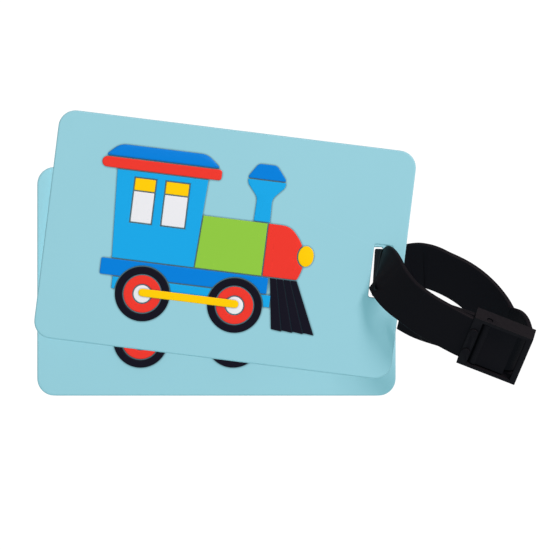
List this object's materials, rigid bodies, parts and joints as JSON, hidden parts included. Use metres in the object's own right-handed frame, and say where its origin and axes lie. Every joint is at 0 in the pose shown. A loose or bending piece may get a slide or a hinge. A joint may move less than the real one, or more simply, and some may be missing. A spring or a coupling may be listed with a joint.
{
  "type": "luggage tag",
  "caption": "Pair of soft PVC luggage tags with raised toy-train relief and card pockets, on one black strap with a hinged-tongue buckle.",
  "frame": {"origin": "centre of the footprint on the resting surface", "axes": "+X along the tags towards the strap loop, +Y across the tags towards the roof of the picture, +Z out of the faces"},
  "size_m": [0.1456, 0.0834, 0.0324],
  "materials": {
    "tag_blue": "soft matt PVC, light blue",
    "deep_blue": "soft PVC relief, deep blue",
    "cab_blue": "soft PVC relief, bright blue",
    "leaf_green": "soft PVC relief, green",
    "signal_red": "soft PVC relief, red",
    "sun_yellow": "soft PVC relief, yellow",
    "pane_white": "soft PVC relief, off-white",
    "wheel_black": "soft PVC relief, black",
    "card_paper": "plain card, off-white",
    "clear_window": "clear flexible sheet",
    "strap_black": "soft PVC band, black, satin",
    "buckle_black": "moulded nylon, black"
  },
  "bodies": {
    "rear_tag": {"rear_tag_face_plate": "tag_blue", "rear_tag_pocket_frame": "tag_blue", "rear_tag_window_sheet": "clear_window", "rear_tag_roof_dome": "deep_blue", "rear_tag_eave": "signal_red", "rear_tag_cab": "cab_blue", "rear_tag_left_pane": "pane_white", "rear_tag_left_blind": "sun_yellow", "rear_tag_right_pane": "pane_white", "rear_tag_right_blind": "sun_yellow", "rear_tag_boiler": "leaf_green", "rear_tag_smokebox": "signal_red", "rear_tag_headlamp": "sun_yellow", "rear_tag_chimney_stack": "cab_blue", "rear_tag_chimney_cap": "deep_blue", "rear_tag_running_board": "deep_blue", "rear_tag_sill": "cab_blue", "rear_tag_cowcatcher": "wheel_black", "rear_tag_left_tyre": "wheel_black", "rear_tag_left_wheel_disc": "signal_red", "rear_tag_left_hub": "pane_white", "rear_tag_right_tyre": "wheel_black", "rear_tag_right_wheel_disc": "signal_red", "rear_tag_right_hub": "pane_white", "rear_tag_coupling_rod": "sun_yellow"},
    "strap": {"strap_band": "strap_black", "buckle_frame": "buckle_black", "tongue_pin": "buckle_black", "anchor_pin_lower": "buckle_black", "anchor_pin_upper": "buckle_black"},
    "tongue": {"buckle_tongue": "buckle_black"},
    "front_tag": {"front_tag_face_plate": "tag_blue", "front_tag_pocket_frame": "tag_blue", "front_tag_window_sheet": "clear_window", "front_tag_roof_dome": "deep_blue", "front_tag_eave": "signal_red", "front_tag_cab": "cab_blue", "front_tag_left_pane": "pane_white", "front_tag_left_blind": "sun_yellow", "front_tag_right_pane": "pane_white", "front_tag_right_blind": "sun_yellow", "front_tag_boiler": "leaf_green", "front_tag_smokebox": "signal_red", "front_tag_headlamp": "sun_yellow", "front_tag_chimney_stack": "cab_blue", "front_tag_chimney_cap": "deep_blue", "front_tag_running_board": "deep_blue", "front_tag_sill": "cab_blue", "front_tag_cowcatcher": "wheel_black", "front_tag_left_tyre": "wheel_black", "front_tag_left_wheel_disc": "signal_red", "front_tag_left_hub": "pane_white", "front_tag_right_tyre": "wheel_black", "front_tag_right_wheel_disc": "signal_red", "front_tag_right_hub": "pane_white", "front_tag_coupling_rod": "sun_yellow"},
    "rear_card": {"rear_tag_address_card": "card_paper"},
    "front_card": {"front_tag_address_card": "card_paper"}
  },
  "joints": [
    {"name": "strap_fan", "type": "hinge", "parent": "rear_tag", "child": "strap", "pos_m": [0.02719, -0.00566, 0.004], "axis": [0, 0, 1], "range_deg": [-2.5, 7]},
    {"name": "front_tag_flap", "type": "hinge", "parent": "strap", "child": "front_tag", "pos_m": [0.02576, -0.00278, 0.0111], "axis": [0.1234, 0.9924, 0], "range_deg": [0, 20]},
    {"name": "tongue_hinge", "type": "hinge", "parent": "strap", "child": "tongue", "pos_m": [0.05677, -0.02588, 0.02657], "axis": [-0.3078, -0.7902, -0.5299], "range_deg": [0, 100]},
    {"name": "rear_card_slide", "type": "slide", "parent": "rear_tag", "child": "rear_card", "axis": [-1, 0, 0], "range_m": [0, 0.088]},
    {"name": "front_card_slide", "type": "slide", "parent": "front_tag", "child": "front_card", "axis": [-0.9924, 0.1234, 0], "range_m": [0, 0.088]}
  ]
}
